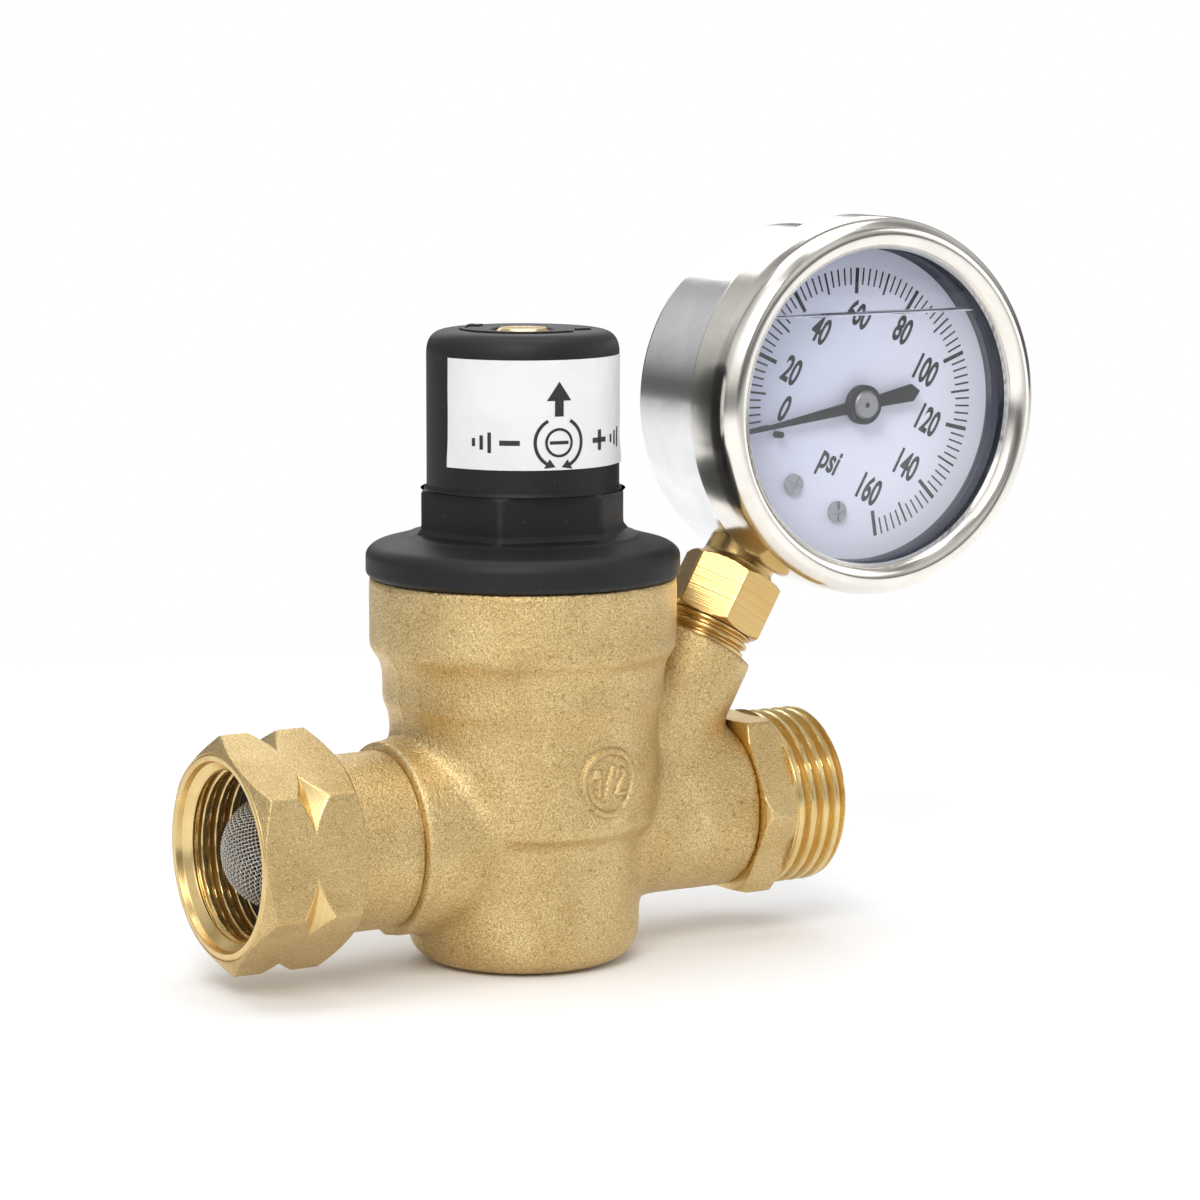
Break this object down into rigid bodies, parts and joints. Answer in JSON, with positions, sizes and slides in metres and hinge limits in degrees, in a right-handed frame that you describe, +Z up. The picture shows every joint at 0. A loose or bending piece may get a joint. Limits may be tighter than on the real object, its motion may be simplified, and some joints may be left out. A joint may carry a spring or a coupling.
{
  "type": "water pressure regulator",
  "caption": "Brass inline water pressure regulator with a screw-adjusted black bonnet, a strainer in the hose inlet, a hose outlet and a filled dial gauge on a leaning stem.",
  "frame": {"origin": "centre of the flat base of the body cup", "axes": "+Z up the body and bonnet axis, +X along the pipe towards the outlet, the gauge faces -Y"},
  "size_m": [0.1322, 0.0468, 0.1105],
  "materials": {
    "cast_brass": "sand-blasted cast",
    "turned_brass": "turned, satin",
    "black_plastic": "moulded, fine texture",
    "black_rubber": "moulded",
    "red_fibre": "pressed fibre",
    "stainless_polished": "polished",
    "stainless_case": "polished, lightly brushed",
    "wire_steel": "drawn wire",
    "spring_steel": "drawn wire",
    "label_film": "printed film",
    "clear_lens": "clear",
    "dial_white": "satin white",
    "pointer_black": "satin black"
  },
  "bodies": {
    "housing": {"valve_body": "cast_brass", "seat_ring": "turned_brass", "seat_oring": "black_rubber", "inlet_adapter": "turned_brass", "inlet_seal_ring": "red_fibre", "hose_washer": "black_rubber", "filter_screen": "wire_steel", "outlet_adapter": "turned_brass", "outlet_seal_ring": "red_fibre", "bonnet": "black_plastic", "bonnet_gasket": "black_rubber", "screw_bushing": "turned_brass", "label": "label_film", "gauge_socket": "turned_brass", "gauge_case": "stainless_case", "gauge_bezel": "stainless_polished", "gauge_lens": "clear_lens", "lens_gasket": "black_rubber", "gauge_dial": "dial_white", "dial_screws": "stainless_polished", "stop_pin": "pointer_black", "fill_plug": "black_rubber", "bourdon_tube": "turned_brass", "tube_tip": "turned_brass", "movement_plates": "turned_brass"},
    "piston_set": {"piston": "turned_brass", "piston_oring": "black_rubber", "piston_stem": "stainless_polished", "poppet_holder": "turned_brass", "poppet_disc": "black_rubber", "stem_nut": "stainless_polished", "main_spring": "spring_steel"},
    "button": {"spring_button": "turned_brass"},
    "screw": {"adjusting_screw": "turned_brass"},
    "needle": {"pointer": "pointer_black", "pointer_cap": "stainless_polished", "pinion_shaft": "turned_brass"},
    "sector": {"sector_gear": "turned_brass"},
    "link": {"gear_link": "turned_brass"}
  },
  "joints": [
    {"name": "piston_travel", "type": "slide", "parent": "housing", "child": "piston_set", "axis": [0, 0, 1], "range_m": [0, 0.002], "deforming": ["main_spring"]},
    {"name": "button_travel", "type": "slide", "parent": "housing", "child": "button", "axis": [0, 0, -1], "range_m": [0, 0.005], "stiffness_N_per_m": 40, "springref_m": -0.0055},
    {"name": "screw_turn", "type": "hinge", "parent": "button", "child": "screw", "pos_m": [0, 0, 0.085], "axis": [0, 0, -1], "range_deg": [0, 1440]},
    {"name": "pointer_turn", "type": "hinge", "parent": "housing", "child": "needle", "pos_m": [0.0525, 0, 0.08179], "axis": [0, 1, 0], "range_deg": [0, 270]},
    {"name": "sector_turn", "type": "hinge", "parent": "housing", "child": "sector", "pos_m": [0.0525, 0, 0.07095], "axis": [0, -1, 0], "range_deg": [0, 33.75]},
    {"name": "link_turn", "type": "hinge", "parent": "sector", "child": "link", "pos_m": [0.04882, -0.002, 0.06938], "axis": [0, 1, 0], "range_deg": [0, 33.75]}
  ],
  "couplings": [
    {"joint": "screw_turn", "follows": "button_travel", "rad_per_m": 5026.5},
    {"joint": "sector_turn", "follows": "pointer_turn", "ratio": 0.125},
    {"joint": "link_turn", "follows": "pointer_turn", "ratio": 0.125}
  ]
}
